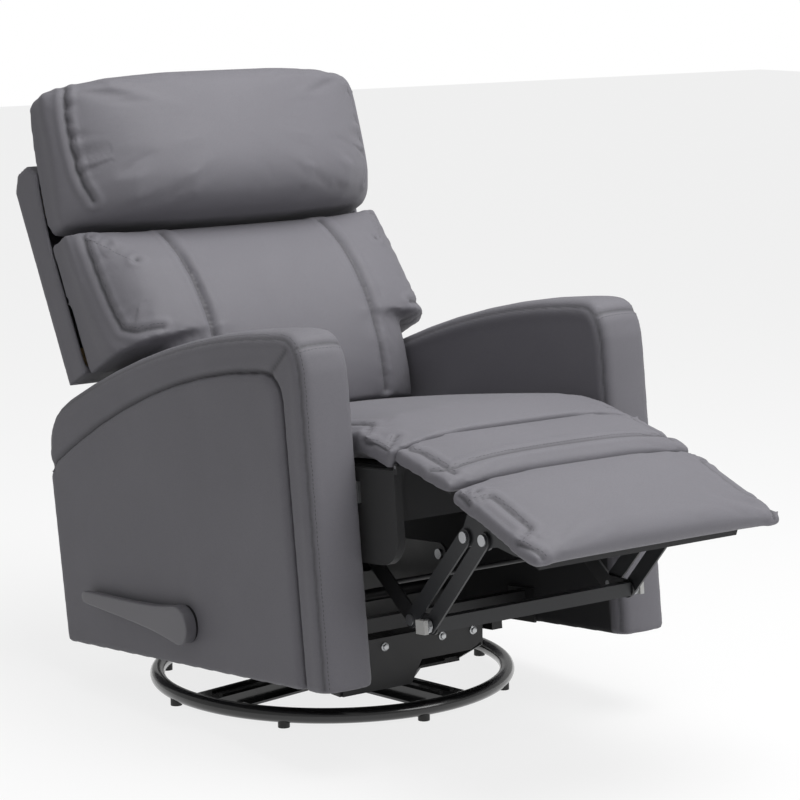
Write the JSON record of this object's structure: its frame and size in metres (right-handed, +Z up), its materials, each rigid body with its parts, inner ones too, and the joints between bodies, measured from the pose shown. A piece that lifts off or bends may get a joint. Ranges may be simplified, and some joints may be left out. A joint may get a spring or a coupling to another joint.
{
  "type": "swivel glider recliner",
  "caption": "Padded swivel glider recliner with side pull handle, sliding seat, reclining back and linkage-driven footrest on a round tube base",
  "frame": {"origin": "middle of the footprint on the floor, with the footrest raised", "axes": "+Z up, front of the chair towards -Y, +X to the sitter's left"},
  "size_m": [0.736, 1.3726, 1.0622],
  "materials": {
    "leather": "soft matte charcoal-grey artificial leather",
    "leather_side": "soft matte charcoal-grey artificial leather, in shade",
    "cloth": "dark lining cloth over board",
    "webbing": "woven elastic strap",
    "steel_paint": "satin dark paint",
    "black_gloss": "gloss black powder coat",
    "link_grey": "satin grey paint",
    "zinc": "zinc plated",
    "wood": "raw laminated wood",
    "cap_white": "pale moulded plastic",
    "handle_grey": "matte grey moulded plastic"
  },
  "bodies": {
    "base": {"base_ring": "black_gloss", "base_cross_bars": "black_gloss", "base_hub": "black_gloss", "foot_glides": "black_gloss", "swivel_bearing": "zinc"},
    "swivel": {"swivel_plate": "steel_paint", "swivel_spindle": "zinc", "glider_side_left": "steel_paint", "glider_side_right": "steel_paint", "glider_front_plate": "steel_paint", "glider_cross_tubes": "steel_paint", "glider_pins": "zinc"},
    "front_glide": {"front_glide_links": "link_grey"},
    "rear_glide": {"rear_glide_links": "link_grey"},
    "chair": {"chassis_rails": "steel_paint", "chassis_cross_tubes": "steel_paint", "chassis_end_plates": "steel_paint", "chassis_pins": "zinc", "fixed_slide_rails": "zinc", "arm_left_core": "leather_side", "arm_left_side_panel": "leather_side", "arm_left_front_pad": "leather", "arm_left_top_pad": "leather", "arm_right_core": "leather_side", "arm_right_side_panel": "leather_side", "arm_right_front_pad": "leather", "arm_right_top_pad": "leather", "arm_tag": "black_gloss", "handle_escutcheon": "steel_paint"},
    "handle": {"handle_lever": "handle_grey", "handle_shaft": "zinc"},
    "seat": {"seat_side_boards": "cloth", "seat_front_board": "cloth", "seat_rear_board": "cloth", "seat_webbing": "webbing", "seat_cushion": "leather", "moving_slide_rails": "zinc", "seat_hinge_plates": "steel_paint", "seat_pivot_pins": "zinc", "flap_hinge_rod": "zinc"},
    "flap": {"flap_board": "cloth", "flap_cushion": "leather"},
    "crank": {"crank_plates": "steel_paint", "drive_tube_bar": "link_grey", "drive_tube_caps": "cap_white", "crank_springs": "zinc", "crank_pins": "zinc", "crank_cross_rod": "steel_paint"},
    "rear_link": {"rear_footrest_links": "link_grey"},
    "front_link": {"front_footrest_links": "link_grey"},
    "footrest": {"footrest_board": "cloth", "footrest_cushion": "leather", "footrest_brackets": "link_grey", "footrest_pins": "zinc"},
    "back": {"back_cover": "leather_side", "back_frame": "wood", "back_hinge_plates": "steel_paint", "back_hinge_pins": "zinc", "lumbar_cushion": "leather", "head_pillow": "leather"}
  },
  "joints": [
    {"name": "swivel_turn", "type": "hinge", "parent": "base", "child": "swivel", "pos_m": [0.013, 0.19446, 0.0452], "axis": [0, 0, 1], "continuous": true},
    {"name": "glide", "type": "hinge", "parent": "swivel", "child": "front_glide", "pos_m": [0.013, 0.07502, 0.22687], "axis": [1, 0, 0], "range_deg": [-15, 15]},
    {"name": "rear_glide_turn", "type": "hinge", "parent": "swivel", "child": "rear_glide", "pos_m": [0.013, 0.33385, 0.20218], "axis": [1, 0, 0], "range_deg": [-15.5, 15.5]},
    {"name": "glide_level", "type": "hinge", "parent": "front_glide", "child": "chair", "pos_m": [0.013, 0.07502, 0.11687], "axis": [1, 0, 0], "range_deg": [-15.5, 15.5]},
    {"name": "handle_lift", "type": "hinge", "parent": "chair", "child": "handle", "pos_m": [0.013, 0.09565, 0.17518], "axis": [1, 0, 0], "range_deg": [0, 45], "stiffness_Nm_per_rad": 1.2, "springref_deg": -34.38},
    {"name": "seat_slide", "type": "slide", "parent": "chair", "child": "seat", "axis": [0, 0.9955, -0.095], "range_m": [0, 0.095]},
    {"name": "flap_fold", "type": "hinge", "parent": "seat", "child": "flap", "pos_m": [0.013, -0.32956, 0.48798], "axis": [1, 0, 0], "range_deg": [0, 73]},
    {"name": "crank_turn", "type": "hinge", "parent": "seat", "child": "crank", "pos_m": [0.013, -0.18974, 0.33199], "axis": [1, 0, 0], "range_deg": [0, 61.5]},
    {"name": "rear_link_turn", "type": "hinge", "parent": "crank", "child": "rear_link", "pos_m": [0.013, -0.31903, 0.24036], "axis": [1, 0, 0], "range_deg": [-61.92, 0]},
    {"name": "front_link_turn", "type": "hinge", "parent": "crank", "child": "front_link", "pos_m": [0.013, -0.36824, 0.24053], "axis": [1, 0, 0], "range_deg": [-61.5, 0]},
    {"name": "footrest_turn", "type": "hinge", "parent": "rear_link", "child": "footrest", "pos_m": [0.013, -0.45691, 0.39565], "axis": [1, 0, 0], "range_deg": [0, 65.92]},
    {"name": "back_recline", "type": "hinge", "parent": "seat", "child": "back", "pos_m": [0.013, 0.45923, 0.37455], "axis": [-1, 0, 0], "range_deg": [0, 25]}
  ],
  "couplings": [
    {"joint": "rear_glide_turn", "follows": "glide", "ratio": 1},
    {"joint": "glide_level", "follows": "glide", "ratio": -1},
    {"joint": "flap_fold", "follows": "seat_slide", "rad_per_m": 13.32},
    {"joint": "crank_turn", "follows": "seat_slide", "rad_per_m": 11.207},
    {"joint": "rear_link_turn", "follows": "seat_slide", "rad_per_m": -11.284},
    {"joint": "front_link_turn", "follows": "seat_slide", "rad_per_m": -11.207},
    {"joint": "footrest_turn", "follows": "seat_slide", "rad_per_m": 12.019}
  ]
}
